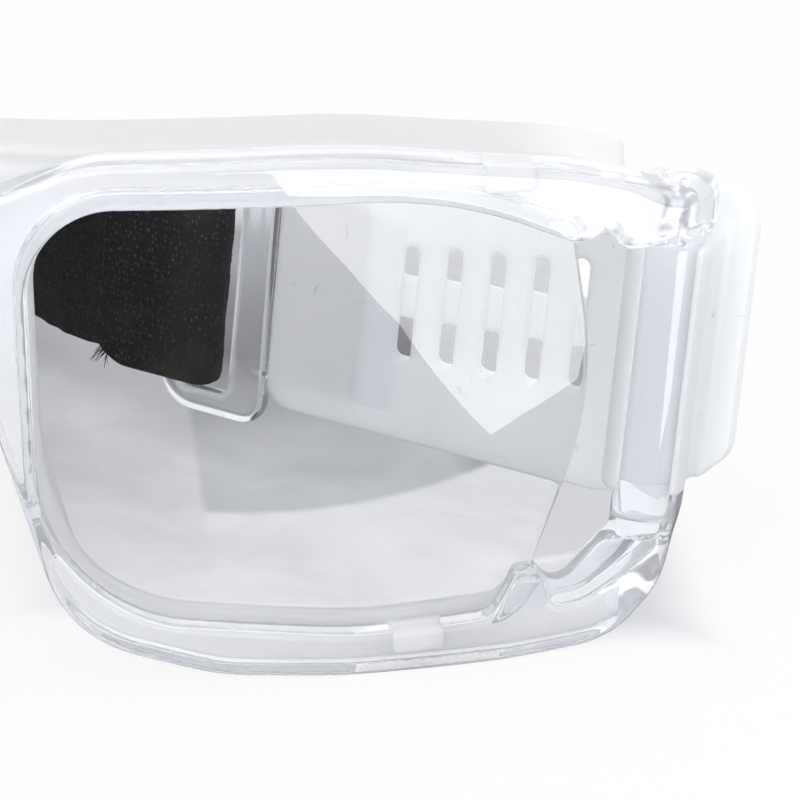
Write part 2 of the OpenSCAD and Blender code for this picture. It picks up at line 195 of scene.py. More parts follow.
def skin(form, lo, hi, h):
    """Quads over the zero level of form(x, y, z) in cells of size h, with the points moved onto it."""
    lo, hi = np.array(lo, float), np.array(hi, float)
    n = np.ceil((hi - lo) / h).astype(int) + 1
    ax = [lo[i] + h * np.arange(n[i]) for i in range(3)]
    f = form(ax[0][:, None, None], ax[1][None, :, None], ax[2][None, None, :])
    f = np.ascontiguousarray(np.broadcast_to(f, n), dtype=np.float32)
    s = f < 0
    count = np.zeros(n - 1, np.uint8)
    for i, j, k in CORNERS:
        count += s[i:n[0] - 1 + i, j:n[1] - 1 + j, k:n[2] - 1 + k]
    act = (count > 0) & (count < 8)
    cells = np.argwhere(act)
    index = np.full(n - 1, -1, np.int64)
    index[act] = np.arange(len(cells))
    vals = np.stack([f[tuple((cells + c).T)] for c in CORNERS], 1)
    pos = np.zeros((len(cells), 3))
    hits = np.zeros(len(cells))
    for a, b in EDGES:
        fa, fb = vals[:, a], vals[:, b]
        m = (fa < 0) != (fb < 0)
        t = (fa[m] / (fa[m] - fb[m]))[:, None]
        pos[m] += CORNERS[a] + t * (CORNERS[b] - CORNERS[a])
        hits[m] += 1
    p = lo + h * (cells + pos / hits[:, None])
    quads = []
    for axis in range(3):
        u, w = (axis + 1) % 3, (axis + 2) % 3
        first = [slice(None)] * 3
        second = [slice(None)] * 3
        first[axis], second[axis] = slice(0, -1), slice(1, None)
        g = np.argwhere(s[tuple(first)] != s[tuple(second)])
        g = g[(g[:, u] > 0) & (g[:, w] > 0) & (g[:, u] < n[u] - 1) & (g[:, w] < n[w] - 1)]
        eu, ew = np.eye(3, dtype=int)[u], np.eye(3, dtype=int)[w]
        q = np.stack([index[tuple(c.T)] for c in (g - eu - ew, g - ew, g, g - eu)], 1)
        back = ~s[tuple(g.T)]
        q[back] = q[back][:, ::-1]
        quads.append(q)
    quads = np.concatenate(quads)

    def settle(p):
        v = form(*p.T)
        g = np.stack([(form(*(p + d).T) - form(*(p - d).T)) / (2 * PROBE) for d in np.eye(3) * PROBE], 1)
        q = np.maximum((g * g).sum(1), FLATTEST)
        return p - np.clip(v / q, -h / 2, h / 2)[:, None] * g

    p = settle(p)
    for _ in range(RELAXED):
        total, near = np.zeros_like(p), np.zeros(len(p))
        for k in range(4):
            a, b = quads[:, k], quads[:, (k + 1) % 4]
            for i in range(3):
                total[:, i] += np.bincount(a, p[b, i], len(p)) + np.bincount(b, p[a, i], len(p))
            near += np.bincount(a, minlength=len(p)) + np.bincount(b, minlength=len(p))
        p = settle(STAY * p + (1 - STAY) * total / np.maximum(near, 1)[:, None])
    return p, quads


def piece(name, points, faces, body, replaces, material):
    """A smooth mesh from points in mm behind the frame's front; faces is one array or a list of them."""
    points = np.asarray(points, float) * MM
    points[:, 1] -= MIDDLE * MM
    groups = faces if isinstance(faces, list) else [faces]
    flat = np.concatenate([g.ravel() for g in groups]).astype(np.int32)
    sides = np.concatenate([np.full(len(g), g.shape[1]) for g in groups])
    mesh = bpy.data.meshes.new(name)
    mesh.vertices.add(len(points))
    mesh.vertices.foreach_set("co", points.ravel())
    mesh.loops.add(len(flat))
    mesh.loops.foreach_set("vertex_index", flat)
    mesh.polygons.add(len(sides))
    mesh.polygons.foreach_set("loop_start", (np.cumsum(sides) - sides).astype(np.int32))
    mesh.polygons.foreach_set("use_smooth", np.ones(len(sides), bool))
    mesh.update(calc_edges=True)
    mesh.validate()
    mesh.materials.append(material)
    obj = bpy.data.objects.new(name, mesh)
    bpy.context.scene.collection.objects.link(obj)
    if replaces:
        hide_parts(*replaces)
    if body:
        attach(obj, body)
    return obj


def flip(points, faces):
    """The piece's mirror image on the other side."""
    groups = faces if isinstance(faces, list) else [faces]
    return np.asarray(points) * np.array([-1, 1, 1]), [g[:, ::-1] for g in groups]


def on_both_sides(points, faces):
    """The right piece's mesh and its mirror image, each with its side's name."""
    return {"right": (points, faces), "left": flip(points, faces)}.items()


# Materials


class Nodes:
    """A new material's empty node tree."""

    def __init__(self, name):
        self.mat = bpy.data.materials.new(name)
        self.mat.use_nodes = True
        self.t = self.mat.node_tree
        self.t.nodes.clear()

    def add(self, kind, **values):
        node = self.t.nodes.new("ShaderNode" + kind)
        for key, v in values.items():
            setattr(node, key, v)
        return node

    def link(self, a, b):
        self.t.links.new(a, b)


def shader(name, base, rough, **sockets):
    """A material with one Principled shader; further sockets are named with underscores for spaces."""
    n = Nodes(name)
    out = n.add("OutputMaterial")
    bsdf = n.add("BsdfPrincipled")
    bsdf.inputs["Base Color"].default_value = (*base, 1)
    bsdf.inputs["Roughness"].default_value = rough
    for key, v in sockets.items():
        bsdf.inputs[key.replace("_", " ")].default_value = v
    n.link(bsdf.outputs[0], out.inputs[0])
    n.out, n.bsdf = out, bsdf
    n.coord = n.add("TexCoord")
    return n


def placed(n, source, scale, turn=0.0):
    m = n.add("Mapping")
    m.inputs["Scale"].default_value = scale
    m.inputs["Rotation"].default_value = (0, 0, turn)
    n.link(source, m.inputs[0])
    return m.outputs[0]


def noise(n, scale, detail=2.0, rough=0.5, source=None, bend=0.0):
    tex = n.add("TexNoise")
    tex.inputs["Scale"].default_value = scale
    tex.inputs["Detail"].default_value = detail
    tex.inputs["Roughness"].default_value = rough
    tex.inputs["Distortion"].default_value = bend
    n.link(source or n.coord.outputs["Object"], tex.inputs["Vector"])
    return tex


def maths(n, op, a, b=None):
    """One Math node over sockets or numbers."""
    m = n.add("Math")
    m.operation = op
    for k, v in enumerate((a, b)):
        if v is None:
            continue
        if isinstance(v, (int, float)):
            m.inputs[k].default_value = v
        else:
            n.link(v, m.inputs[k])
    return m.outputs[0]


def times(n, a, b):
    return maths(n, "MULTIPLY", a, b)


def plus(n, a, b):
    return maths(n, "ADD", a, b)


def minus(n, a, b):
    return maths(n, "SUBTRACT", a, b)


def larger(n, a, b):
    return maths(n, "MAXIMUM", a, b)


def blend_colour(n, share, a, b):
    """Colour a where share is 0, b where it is 1; each is a colour or a socket."""
    m = n.add("Mix")
    m.data_type = "RGBA"
    n.link(share, m.inputs[0])
    for k, v in ((6, a), (7, b)):
        if isinstance(v, tuple):
            m.inputs[k].default_value = (*v, 1)
        else:
            n.link(v, m.inputs[k])
    return m.outputs[2]


def ramp(n, source, stops):
    """A colour that runs through the stops (place, colour or grey) as the source rises."""
    r = n.add("ValToRGB")
    while len(r.color_ramp.elements) < len(stops):
        r.color_ramp.elements.new(0.5)
    for e, (place, tone) in zip(r.color_ramp.elements, stops):
        e.position = place
        e.color = (*tone, 1) if isinstance(tone, tuple) else (tone, tone, tone, 1)
    n.link(source, r.inputs[0])
    return r.outputs[0]


def soft_step(n, source, low, high, flip=False):
    """0 below low, 1 above high and smooth between, or the other way round."""
    m = n.add("MapRange")
    m.interpolation_type = "SMOOTHSTEP"
    m.inputs["From Min"].default_value, m.inputs["From Max"].default_value = low, high
    m.inputs["To Min"].default_value, m.inputs["To Max"].default_value = (1, 0) if flip else (0, 1)
    n.link(source, m.inputs["Value"])
    return m.outputs[0]


def band(n, source, rise, fall):
    """1 between the two soft steps, each given by its ends, and 0 on either side."""
    return times(n, soft_step(n, source, *rise), soft_step(n, source, *fall, flip=True))


def bump(n, source, distance):
    b = n.add("Bump")
    b.inputs["Strength"].default_value = 1.0
    b.inputs["Distance"].default_value = distance
    n.link(source, b.inputs["Height"])
    n.link(b.outputs[0], n.bsdf.inputs["Normal"])


def clear_shadow(n, amount):
    """Lets part of the light through to the shadow, as clear plastic does."""
    path = n.add("LightPath")
    mix = n.add("MixShader")
    n.link(times(n, path.outputs["Is Shadow Ray"], amount), mix.inputs[0])
    n.link(n.bsdf.outputs[0], mix.inputs[1])
    n.link(n.add("BsdfTransparent").outputs[0], mix.inputs[2])
    n.link(mix.outputs[0], n.out.inputs[0])


CLEAR_IOR, GASKET_IOR, ARM_IOR = 1.55, 1.42, 1.48
EVEN_SCATTER = (1, 1, 1)  # all colours go equally far


def clear_plastic(name, tint, rough, clear=1.0, wave=0.00002, shadow=0.7, gloss=0.5):
    """Polished plastic with a faint wave in its surface and patches of haze."""
    n = shader(name, tint, rough, Transmission_Weight=clear, IOR=CLEAR_IOR, Specular_IOR_Level=gloss)
    bump(n, noise(n, 90, 2.0, 0.5).outputs["Fac"], wave)
    haze = noise(n, 160, 3.0, 0.6)
    n.link(ramp(n, haze.outputs["Fac"], [(0.4, rough), (0.75, rough * 2 + 0.01)]), n.bsdf.inputs["Roughness"])
    clear_shadow(n, shadow)
    return n.mat


frame_mat = clear_plastic("clear_frame", (0.955, 0.965, 1.0), 0.006, clear=0.82, wave=0.00003, shadow=0.97,
                          gloss=0.35)
lens_mat = clear_plastic("clear_lens", (0.92, 0.925, 0.94), 0.0, wave=0.000001, shadow=0.8)
buckle_mat = clear_plastic("clear_buckle", (0.9, 0.905, 0.93), 0.06, clear=0.9)


def milky_rubber():
    """Satin elastomer, painted lighter where it lies on the frame so that the flange behind the clear frame
    looks lit, greyer along the wall's free top.
    """
    n = shader("milky_gasket", (0.655, 0.66, 0.655), 0.42, Transmission_Weight=0.2, IOR=GASKET_IOR,
               Subsurface_Weight=0.7, Subsurface_Scale=0.008, Subsurface_Radius=EVEN_SCATTER)
    at = n.add("SeparateXYZ")
    n.link(n.coord.outputs["Object"], at.inputs[0])
    # Painted light: below the wall's free top the colour is painted near white, standing in for light on the
    # flange behind the frame
    above_painted_light = soft_step(n, at.outputs[2], 0.0475, 0.049)
    n.link(blend_colour(n, above_painted_light, (0.86, 0.865, 0.875), (0.64, 0.645, 0.64)), n.bsdf.inputs["Base Color"])
    bump(n, noise(n, 1400, 3.0, 0.6).outputs["Fac"], 0.00003)
    clear_shadow(n, 0.7)
    return n.mat


gasket_mat = milky_rubber()


def arm_plastic():
    """Pale translucent plastic with faint flow lines, specks of lint and fine hairs."""
    n = shader("pale_arm", (0.7, 0.74, 0.77), 0.45, Transmission_Weight=0.1, IOR=ARM_IOR,
               Subsurface_Weight=0.9, Subsurface_Scale=0.009, Subsurface_Radius=EVEN_SCATTER)
    co = n.coord.outputs["Object"]
    cloud = noise(n, 45, 3.0, 0.55)
    flow = noise(n, 260, 2.0, 0.5, placed(n, co, (1, 1, 0.05))).outputs["Fac"]

    # Hairs are contour lines of a bent noise, kept in some places; specks are the middles of a few cells
    contour = ramp(n, noise(n, 210, 2.0, 0.5, bend=0.8).outputs["Fac"], [(0.492, 0), (0.5, 1), (0.508, 0)])
    patches = noise(n, 270, 1.0, 0.5, placed(n, co, (1, 1, 1), 1.1)).outputs["Fac"]
    hairs = times(n, contour, ramp(n, patches, [(0.64, 0), (0.67, 1)]))
    cell = n.add("TexVoronoi")
    cell.inputs["Scale"].default_value = 330
    n.link(co, cell.inputs["Vector"])
    few = ramp(n, noise(n, 120, 1.0, 0.5).outputs["Fac"], [(0.6, 0), (0.64, 1)])
    specks = times(n, ramp(n, cell.outputs["Distance"], [(0.03, 1), (0.06, 0)]), few)

    tint = ramp(n, cloud.outputs["Fac"], [(0.3, (0.71, 0.735, 0.755)), (0.7, (0.75, 0.77, 0.78))])
    tint = blend_colour(n, ramp(n, flow, [(0.35, 0), (0.7, 0.35)]), tint, (0.83, 0.85, 0.865))

    # The buckle's tongue as it shows through the plate, painted: a line of painted shade along its edge and
    # painted light over it where the pocket holds it; u runs along the arm from the post, as in arm_form
    at = n.add("SeparateXYZ")
    n.link(co, at.inputs[0])
    aside = minus(n, maths(n, "ABSOLUTE", at.outputs[0]), POST[0] * MM)
    back = minus(n, at.outputs[1], (POST[1] - MIDDLE) * MM)
    u = minus(n, times(n, back, math.cos(FOLD)), times(n, aside, math.sin(FOLD)))
    inside = band(n, at.outputs[2], (0.0127, 0.0132), (0.0325, 0.034))
    tongue_edge_shade = band(n, u, (0.0322, 0.0338), (0.0368, 0.0379))
    tongue_light = soft_step(n, u, 0.0376, 0.0382)
    # Painted shade along the tongue's edge, then painted light over the tongue
    tint = blend_colour(n, times(n, times(n, tongue_edge_shade, inside), 0.5), tint, (0.6, 0.635, 0.69))
    tint = blend_colour(n, times(n, times(n, tongue_light, inside), 0.35), tint, (0.84, 0.85, 0.84))
    tint = blend_colour(n, times(n, hairs, 0.45), tint, (0.3, 0.27, 0.27))
    tint = blend_colour(n, times(n, specks, 0.7), tint, (0.2, 0.21, 0.25))
    n.link(tint, n.bsdf.inputs["Base Color"])
    grain = noise(n, 900, 3.0, 0.6)
    bump(n, plus(n, grain.outputs["Fac"], times(n, flow, 0.8)), 0.00003)
    clear_shadow(n, 0.5)
    return n.mat


arm_mat = arm_plastic()

STITCH = (2600, 1500, 1)           # stitches to the metre along and across the band
STITCH_SHIFT = (0.0004, 0.0005, 0)  # how far they wander, in metres
# Stitch tones: painted shade in the gaps, the yarn, and a painted glint at each stitch's middle
GAP, YARN, PAINTED_GLINT = 0.0005, 0.003, (0.1, 0.1, 0.103)
FLUFF, RED_YARN = (0.028, 0.027, 0.028), (0.042, 0.027, 0.024)
DEEP_GAP, DEEP_YARN, PALER_YARN = (0.0005, 0.0005, 0.0006), (0.009, 0.0085, 0.009), (0.05, 0.046, 0.047)


def knit():
    """Black knitted elastic: short stitches in rows, painted with shade in their gaps and a pale painted
    glint at their middles, uneven fuzz, a few reddish threads.
    """
    n = shader("black_strap", (0.015, 0.014, 0.015), 0.85, Sheen_Weight=0.03, Sheen_Roughness=0.45,
               Specular_IOR_Level=0.1)
    n.bsdf.inputs["Sheen Tint"].default_value = (0.5, 0.5, 0.52, 1)
    uv = n.coord.outputs["UV"]
    shift = n.add("VectorMath")
    shift.operation = "MULTIPLY_ADD"
    n.link(noise(n, 420, 2.0, 0.5, uv).outputs["Color"], shift.inputs[0])
    shift.inputs[1].default_value = STITCH_SHIFT
    n.link(uv, shift.inputs[2])
    cell = n.add("TexVoronoi")
    cell.inputs["Scale"].default_value = 1
    cell.inputs["Randomness"].default_value = 0.55
    n.link(placed(n, shift.outputs[0], STITCH), cell.inputs["Vector"])
    high = minus(n, 1.0, cell.outputs["Distance"])
    fuzz = noise(n, 2600, 4.0, 0.7, uv).outputs["Fac"]
    patch = noise(n, 130, 3.0, 0.6, uv).outputs["Fac"]
    warm = noise(n, 95, 2.0, 0.5, placed(n, uv, (1, 1, 1), 0.6)).outputs["Fac"]

    # Each stitch is painted like a lit bump: painted shade towards its edges, a painted glint at its middle
    tint = ramp(n, high, [(0.35, GAP), (0.68, YARN), (0.92, PAINTED_GLINT)])
    tint = blend_colour(n, ramp(n, fuzz, [(0.5, 0), (0.75, 0.8)]), tint, FLUFF)
    tint = blend_colour(n, ramp(n, warm, [(0.52, 0), (0.68, 0.7)]), tint, RED_YARN)
    # A darker copy of the stitches for patches, again with painted shade in the gaps
    deep = blend_colour(n, ramp(n, high, [(0.5, 0), (0.95, 1)]), DEEP_GAP, DEEP_YARN)
    tint = blend_colour(n, ramp(n, patch, [(0.4, 0), (0.62, 0.8)]), tint, deep)

    # Paler along a stretch at the buckle, darker towards the cut end and along the free run; x is the length
    # from the cut end
    length = n.add("SeparateXYZ")
    n.link(uv, length.inputs[0])
    paler_stretch = band(n, length.outputs[0], (0.006, 0.011), (0.014, 0.018))
    tint = blend_colour(n, times(n, paler_stretch, 0.22), tint, PALER_YARN)
    run = plus(n, times(n, length.outputs[0], 10), times(n, patch, 0.06))
    darker_share = ramp(n, run, [(0.03, 0.5), (0.09, 0.3), (0.13, 0.1), (0.17, 0.2), (0.24, 0.85)])
    n.link(blend_colour(n, darker_share, tint, deep), n.bsdf.inputs["Base Color"])
    bump(n, plus(n, high, times(n, fuzz, 1.1)), 0.00016)
    return n.mat


strap_mat = knit()

# Frame

SEAT_FRONT, SEAT_GAP = 2.9, 1.3  # depth of the lens rebate's front, and its reach past the lens opening
SCOOP_BACK = 3.6                # depth of the pocket in front of the post
EDGE_SOFT, EAR_SOFT = 0.8, 1.8  # blend of the rails' edges, and what the ears add to it
EAR_FROM, EAR_OVER = 66, 6      # where that starts, and the distance it takes
TAIL_SOFT, SEAT_SOFT, POST_SOFT = 2.0, 0.25, 1.0
SINK = 0.6                      # how far the post's ends reach into the ears
MAP_LO, MAP_HI = (0, -2), (92, 54)  # area over which the outlines are kept

outline = Outline(rounded(both(FRAME_CORNERS)), MAP_LO, MAP_HI)
opening = Outline(rounded(OPENING), MAP_LO, MAP_HI)
rebate = Outline(rounded(grown(LENS, SEAT_GAP)), MAP_LO, MAP_HI)
scoop = Outline(rounded(SCOOP), MAP_LO, MAP_HI)


def frame_form(x, y, z):
    ax = np.abs(x)
    d, run = inset(x, y)
    soft = EDGE_SOFT + EAR_SOFT * np.clip((ax - EAR_FROM) / EAR_OVER, 0, 1)
    shell = smax(smax(outline(ax, z), -d, soft), d - DEPTH, soft * 0.6)
    shell = smax(shell, run - TAIL, TAIL_SOFT)
    f = smax(shell, -opening(ax, z), EDGE_SOFT)
    seat = smax(rebate(ax, z), SEAT_FRONT - d, SEAT_SOFT)
    f = smax(f, -seat, SEAT_SOFT)
    hollow = smax(scoop(ax, z), d - SCOOP_BACK, EDGE_SOFT)
    f = smax(f, -hollow, EDGE_SOFT)
    post = np.hypot(ax - POST[0], y - POST[1]) - POST_R
    post = smax(post, np.maximum(LEDGE_TOP - SINK - z, z - EAR_UNDER - SINK), 0.1)
    return smin(f, post, POST_SOFT)


p, q = skin(frame_form, (-79, -1, -1), (79, 33, 53), h=0.34)
piece("frame_body", p, q, "frame", ["front_frame"], frame_mat)

# Lenses

LENS_DEPTH, LENS_THICK = 3.0, 2.2  # depth of the front face, and thickness
LENS_GROWN, LENS_RIM = 1.2, 0.35   # reach past the opening, and rounding of the rim's two edges
LENS_MIDDLE = np.array([36.0, 26.0])
ROUND, RINGS, RIM_RINGS = 240, 26, 5  # points in a ring, rings on each face and round each edge of the rim


def lens_rings(corners):
    """A curved plate: rings from the middle of the outline to its edge, round the rim and back."""
    edge = rounded(corners, 10)
    seg = np.linalg.norm(np.roll(edge, -1, 0) - edge, axis=1)
    run = np.concatenate([[0], np.cumsum(seg)])
    at = np.linspace(0, run[-1], ROUND + 1)[:-1]
    closed = np.vstack([edge, edge[:1]])
    loop = np.stack([np.interp(at, run, closed[:, i]) for i in (0, 1)], 1)
    out = (loop - LENS_MIDDLE) / np.linalg.norm(loop - LENS_MIDDLE, axis=1)[:, None]
    front, rear = LENS_DEPTH, LENS_DEPTH + LENS_THICK
    rings = [(k, 0.0, front) for k in np.linspace(0.02, 1, RINGS)]
    rings[-1] = (1.0, -LENS_RIM, front)
    for t in np.linspace(0, math.pi / 2, RIM_RINGS)[1:]:
        rings.append((1.0, -LENS_RIM * (1 - math.sin(t)), front + LENS_RIM * (1 - math.cos(t))))
    for t in np.linspace(0, math.pi / 2, RIM_RINGS):
        rings.append((1.0, -LENS_RIM * (1 - math.cos(t)), rear - LENS_RIM * (1 - math.sin(t))))
    rings += [(k, 0.0, rear) for k in np.linspace(1, 0.02, RINGS)[1:]]
    placed_rings = []
    for share, move, depth in rings:
        q = LENS_MIDDLE + (loop - LENS_MIDDLE) * share + out * move
        x = q[:, 0]
        placed_rings.append(np.stack([x, R - np.sqrt((R - depth) * (R - depth) - x * x), q[:, 1]], 1))
    return placed_rings


def tube(rings, n):
    """Quads between rings of n points each, closed around, and triangles over the two ends."""
    m = len(rings)
    a = np.arange(n)
    b = (a + 1) % n
    quads = np.vstack([np.stack([a, b, b + n, a + n], 1) + i * n for i in range(m - 1)])
    pts = np.vstack(list(rings) + [rings[0].mean(0), rings[-1].mean(0)])
    first = np.stack([b, a, np.full(n, m * n)], 1)
    last = np.stack([a + (m - 1) * n, b + (m - 1) * n, np.full(n, m * n + 1)], 1)
    return pts, [quads, np.vstack([first, last])]


p, q = tube(lens_rings(grown(LENS, LENS_GROWN)), ROUND)
for side, (p, q) in on_both_sides(p, q):
    piece("lens_plate_" + side, p, q, "frame", ["lens_" + side], lens_mat)

# Face gasket: a flange on the back of the frame, a wall towards the face, and lugs in the rails

FLANGE_FRONT, FLANGE_BACK, FLANGE_LAP = 5.52, 7.1, 0.5  # depths, and how far it laps over the lens
INSET, WALL = 0.7, 1.6           # distance of the wall from the frame's outline, and its thickness
RIM, NOSE_DIP, RIM_WAVE = 18.9, 2.6, 0.35  # how far back the wall reaches, less at the nose, and a wave
LOW_CUT, LOW_FROM, LOW_OVER = 6.8, 20, 12  # how much lower the wall is below the eyes
GAP_FROM, GAP_LOW, GAP_HIGH = 56.5, 7.8, 42.8  # the flange is open beside the post
WALL_END, WALL_SLANT = 65.3, 0.19  # the wall ends on a slant at each temple
LUGS = ((53.5, 48.0), (49.0, 2.6))  # distance from the middle, and height
LUG_HALF, LUG_TALL, LUG_FRONT, LUG_BACK = 2.5, 1.2, 2.1, 6.0
LUG_SOFT, WALL_SOFT = 0.5, 1.6

flange_edge = Outline(rounded(grown(LENS, -FLANGE_LAP)), MAP_LO, MAP_HI)
gasket_top = Outline(rounded(both([(14, 50.2, 30)] + FRAME_CORNERS[2:])), MAP_LO, MAP_HI)


def gasket_form(x, y, z):
    ax = np.abs(x)
    d, run = inset(x, y)
    o = gasket_top(ax, z)
    flange = smax(smax(o + INSET, FLANGE_FRONT - d, 0.3), d - FLANGE_BACK, 0.8)
    flange = smax(flange, -flange_edge(ax, z), 0.7)
    gap = smax(smax(GAP_FROM - ax, GAP_LOW - z, WALL_SOFT), z - GAP_HIGH, WALL_SOFT)
    flange = smax(smax(flange, -gap, 0.6), run - TAIL, 0.8)
    back = R - np.hypot(x, R - y)
    rim = RIM - NOSE_DIP * np.clip((24 - ax) / 24, 0, 1) ** 1.3 + RIM_WAVE * np.cos(ax * 0.13)
    rim = rim - LOW_CUT * np.clip((LOW_FROM - z) / LOW_OVER, 0, 1) * np.clip((ax - 8) / 10, 0, 1)
    wall = smax(smax(o + INSET, -o - INSET - WALL, 0.7), smax(6.0 - back, back - rim, 1.5), 0.9)
    wall = smax(wall, ax - WALL_END - WALL_SLANT * back, 1.0)
    f = smin(flange, wall, WALL_SOFT)
    for lx, lz in LUGS:
        sides = smax(np.abs(ax - lx) - LUG_HALF, np.abs(z - lz) - LUG_TALL, LUG_SOFT)
        f = np.minimum(f, smax(sides, smax(LUG_FRONT - d, d - LUG_BACK, LUG_SOFT), LUG_SOFT))
    return f


p, q = skin(gasket_form, (-79, 4, -1), (79, 42, 53), h=0.4)
piece("gasket_ring", p, q, "frame", ["face_gasket"], gasket_mat)

# Side arms, in the arm's own frame: v outwards from the post, u towards the rear, z up

PLATE = [(-5.3, 45.3, 4.5), (48, 37.8, 3), (48, 10.2, 3), (7.3, 10.2, 12), (-5.3, 16.7, 3.5)]
PLATE_IN, PLATE_OUT = 7.3, 9.7   # the plate's inner and outer face
MID = 8.5                        # middle of its thickness, which the buckle and the strap keep to
CLIP_LOW, CLIP_HIGH = YOKE_TOP + 0.3, EAR_UNDER - 0.3
CLIP_R, BORE_R, WEB_HALF, WEB_END = 4.1, 2.96, 2.8, 8.4  # the clip round the post, and its web to the plate
MOUTH, MOUTH_HALF = math.radians(28), 2.5  # direction and half width of the clip's opening
SLOTS = [(12.7 + 4.9 * i, 20.1 - 0.35 * i) for i in range(5)]  # place along the arm and lower end
SLOT_R, SLOT_LONG, SLOT_STEP = 0.875, 13.7, 0.35  # each slot is a step shorter than the one before
FLARE, FLARE_FROM = 0.53, 7.8    # the slots' rear sides slope outwards
BRIDGE_LOW, BRIDGE_TALL = 4.3, 5  # a bridge in the outer half crosses every slot
POCKET_IN, POCKET_FROM, POCKET_HALF = 8.3, 37.9, 10.1  # takes the buckle's tongue
BUCKLE_MID = 23                  # height of the buckle's and the strap's middle
plate = Outline(rounded(PLATE), (-8, 8), (51, 48), 0.15)


def on_arm(v, u, z):
    """Points of the right arm's own frame, as the arm lies at rest."""
    c, s = math.cos(FOLD), math.sin(FOLD)
    return np.stack([POST[0] + v * c - u * s, POST[1] + v * s + u * c, z + 0 * v], -1)


def arm_form(v, u, z):
    f = smax(smax(plate(u, z), PLATE_IN - v, 0.5), v - PLATE_OUT, 0.9)
    ends = np.maximum(CLIP_LOW - z, z - CLIP_HIGH)
    web = smax(smax(np.abs(u) - WEB_HALF, ends, 0.8), np.maximum(-v, v - WEB_END), 0.8)
    ring = smax(np.hypot(v, u) - CLIP_R, ends, 0.7)
    f = smin(f, smin(web, ring, 0.8), 1.6)
    f = smax(f, BORE_R - np.hypot(v, u), 0.3)
    c, s = math.cos(MOUTH), math.sin(MOUTH)
    f = smax(f, -np.maximum(np.abs(u * c - v * s) - MOUTH_HALF, v * c + u * s), 0.5)
    flare = FLARE * np.maximum(v - FLARE_FROM, 0)
    for i, (at, low) in enumerate(SLOTS):
        high = low + SLOT_LONG - SLOT_STEP * i
        du = u - at
        du = np.where(du > flare, du - flare, np.minimum(du, 0))
        dz = np.maximum(np.abs(z - (low + high) / 2) - (high - low) / 2 + SLOT_R, 0)
        cut = np.hypot(du, dz) - SLOT_R
        tall = BRIDGE_TALL - SLOT_STEP / 2 * i
        bridge = smax(np.abs(z - (low + BRIDGE_LOW + tall / 2)) - tall / 2, MID - v, 0.25)
        f = smax(f, -smax(cut, -bridge, 0.25), 0.4)
    pocket = np.maximum(np.maximum(POCKET_IN - v, POCKET_FROM - u), np.abs(z - BUCKLE_MID) - POCKET_HALF)
    return smax(f, -pocket, 0.25)


p, q = skin(arm_form, (-6, -6.5, 9), (10.6, 49, 46.5), h=0.3)
for side, (p, q) in on_both_sides(on_arm(*p.T), q):
    piece("arm_plate_" + side, p, q, "arm_" + side, ["side_arm_" + side], arm_mat)

# Buckles

LOOP_OUT = [(48.3, 38.8, 3), (61.3, 38.8, 4), (61.3, 7.2, 4), (48.3, 7.2, 3)]
LOOP_IN = [(52.9, 36, 1), (58.6, 36, 1), (58.6, 10, 1), (52.9, 10, 1)]
LOOP_HALF, LOOP_SOFT = 1.0, 1.1  # half thickness, and the blend of its edges
TONGUE_IN, TONGUE_OUT, TONGUE_FROM, TONGUE_TO, TONGUE_HALF = 8.4, 9.6, 38, 50.6, 10
loop_out, loop_in = (Outline(rounded(c), (36, 4), (63, 42), 0.12) for c in (LOOP_OUT, LOOP_IN))


def buckle_form(v, u, z):
    f = smax(smax(loop_out(u, z), np.abs(v - MID) - LOOP_HALF, LOOP_SOFT), -loop_in(u, z), 0.9)
    length = np.maximum(TONGUE_FROM - u, u - TONGUE_TO)
    tongue = smax(smax(TONGUE_IN - v, v - TONGUE_OUT, 0.3),
                  smax(length, np.abs(z - BUCKLE_MID) - TONGUE_HALF, 0.5), 0.4)
    return smin(f, tongue, 0.5)


p, q = skin(buckle_form, (6.9, 37, 5), (10.3, 62.5, 41), h=0.28)
for side, (p, q) in on_both_sides(on_arm(*p.T), q):
    piece("buckle_loop_" + side, p, q, "arm_" + side, ["buckle_" + side], buckle_mat)

# Strap: each half runs from the tail inside the buckle, round the far bar and on to the rear middle

STRAP_W, STRAP_T = 25.0, 1.5     # width and thickness
FOLD_AT, FOLD_R, TAIL_END = 57.0, 1.85, 68.3  # the turn round the far bar, and the tail's cut end
# The free run on the right side: x, y, z in mm and lean in degrees
ROUTE = [(16.8, 74.7, 22.4, 9), (13.3, 77, 22, 18), (9.4, 80, 21.8, 24), (7.2, 83.8, 21.6, 23),
         (6.6, 87.2, 21.2, 19), (6.4, 91.5, 20.6, 15), (6.4, 97, 19.5, 11), (6.4, 104, 17.9, 7.5),
         (6.5, 112, 16.1, 4.5), (6.6, 120, 14.5, 2.5), (6.6, 128, 13.3, 1), (6.6, 136, 12.7, 0),
         (6.6, 144, 12.5, 0), (6.6, 152, 12.5, 0), (6.6, 159, 12.5, 0), (5.7, 162.6, 12.5, 0),
         (3.3, 165.1, 12.5, 0), (0, 166, 12.5, 0)]
PAST_REAR = (-3.3, 165.1, 12.5, 0)
LEAVING = ((-2, 0), (0.3, 0), (2.5, 3))  # distance past the tail's end and lean, where the run leaves the arm


def strap_point(v, u, lean=0):
    return np.append(on_arm(np.array(v), np.array(u), np.array(float(BUCKLE_MID))), lean)


